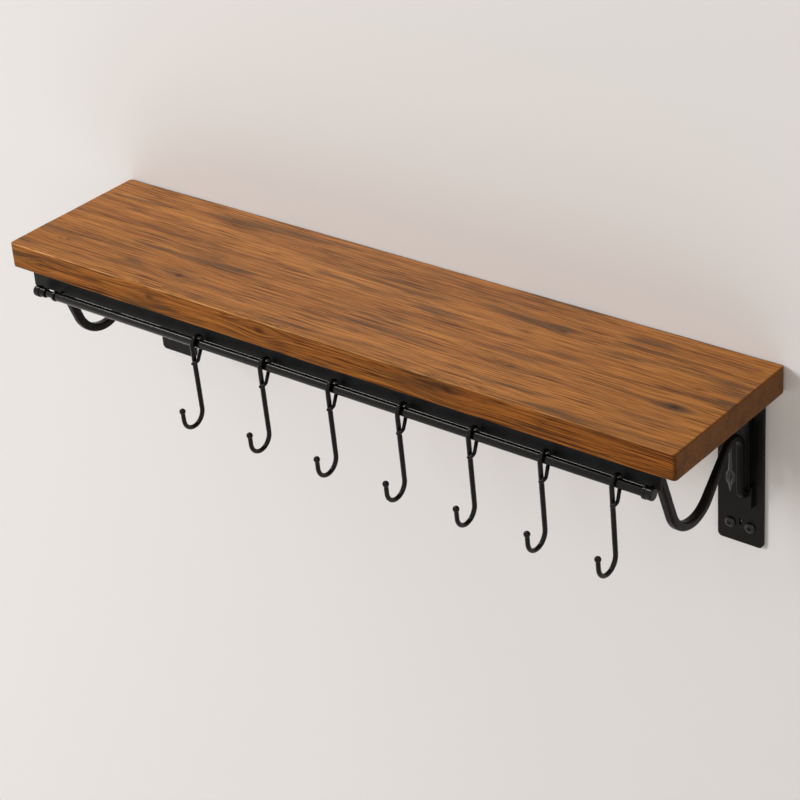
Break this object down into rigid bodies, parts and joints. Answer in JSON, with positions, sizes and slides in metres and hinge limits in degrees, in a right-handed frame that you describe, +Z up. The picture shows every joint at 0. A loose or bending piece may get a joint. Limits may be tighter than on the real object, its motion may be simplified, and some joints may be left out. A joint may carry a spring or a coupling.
{
  "type": "wall pot rack",
  "caption": "Wall-mounted wood shelf on two iron scroll brackets, with a round hanging rail below its front edge that carries swinging pot hooks.",
  "frame": {"origin": "middle of the wall-screw pattern, on the wall plane behind the wall plates", "axes": "+X along the shelf to the right as seen from the room, +Y into the wall, +Z up"},
  "size_m": [0.9, 0.2891, 0.224],
  "materials": {
    "stained_wood": "orange-brown stain, satin lacquer, straight grain along the shelf",
    "black_iron": "satin black powder coat over hand-bent iron",
    "black_hooks": "satin black powder coat",
    "black_screws": "satin black",
    "zinc_screws": "zinc plated"
  },
  "bodies": {
    "rack": {"shelf_board": "stained_wood", "apron_bar": "black_iron", "hanging_rail": "black_iron", "rail_cap_left": "black_iron", "rail_cap_right": "black_iron", "rail_ring_left": "black_iron", "rail_ring_right": "black_iron", "wall_plate_left": "black_iron", "wall_plate_right": "black_iron", "back_bar_left": "black_iron", "back_bar_right": "black_iron", "support_bar_left": "black_iron", "support_bar_right": "black_iron", "scroll_arm_left": "black_iron", "scroll_arm_right": "black_iron", "arm_drop_left": "black_iron", "arm_drop_right": "black_iron", "wall_screws_left": "black_screws", "wall_screws_right": "black_screws", "board_screws_left": "zinc_screws", "board_screws_right": "zinc_screws"},
    "hook_1": {"hook_1": "black_hooks"},
    "hook_2": {"hook_2": "black_hooks"},
    "hook_3": {"hook_3": "black_hooks"},
    "hook_4": {"hook_4": "black_hooks"},
    "hook_5": {"hook_5": "black_hooks"},
    "hook_6": {"hook_6": "black_hooks"},
    "hook_7": {"hook_7": "black_hooks"}
  },
  "joints": [
    {"name": "hook_1_swing", "type": "hinge", "parent": "rack", "child": "hook_1", "pos_m": [-0.163, -0.2048, 0.0767], "axis": [-1, 0, 0], "range_deg": [-55, 135]},
    {"name": "hook_2_swing", "type": "hinge", "parent": "rack", "child": "hook_2", "pos_m": [-0.065, -0.2048, 0.0767], "axis": [-1, 0, 0], "range_deg": [-55, 135]},
    {"name": "hook_3_swing", "type": "hinge", "parent": "rack", "child": "hook_3", "pos_m": [0.029, -0.2048, 0.0767], "axis": [-1, 0, 0], "range_deg": [-55, 135]},
    {"name": "hook_4_swing", "type": "hinge", "parent": "rack", "child": "hook_4", "pos_m": [0.1215, -0.2048, 0.0767], "axis": [-1, 0, 0], "range_deg": [-55, 135]},
    {"name": "hook_5_swing", "type": "hinge", "parent": "rack", "child": "hook_5", "pos_m": [0.212, -0.2048, 0.0767], "axis": [-1, 0, 0], "range_deg": [-55, 135]},
    {"name": "hook_6_swing", "type": "hinge", "parent": "rack", "child": "hook_6", "pos_m": [0.2995, -0.2048, 0.0767], "axis": [-1, 0, 0], "range_deg": [-55, 135]},
    {"name": "hook_7_swing", "type": "hinge", "parent": "rack", "child": "hook_7", "pos_m": [0.3835, -0.2048, 0.0767], "axis": [-1, 0, 0], "range_deg": [-55, 135]}
  ]
}
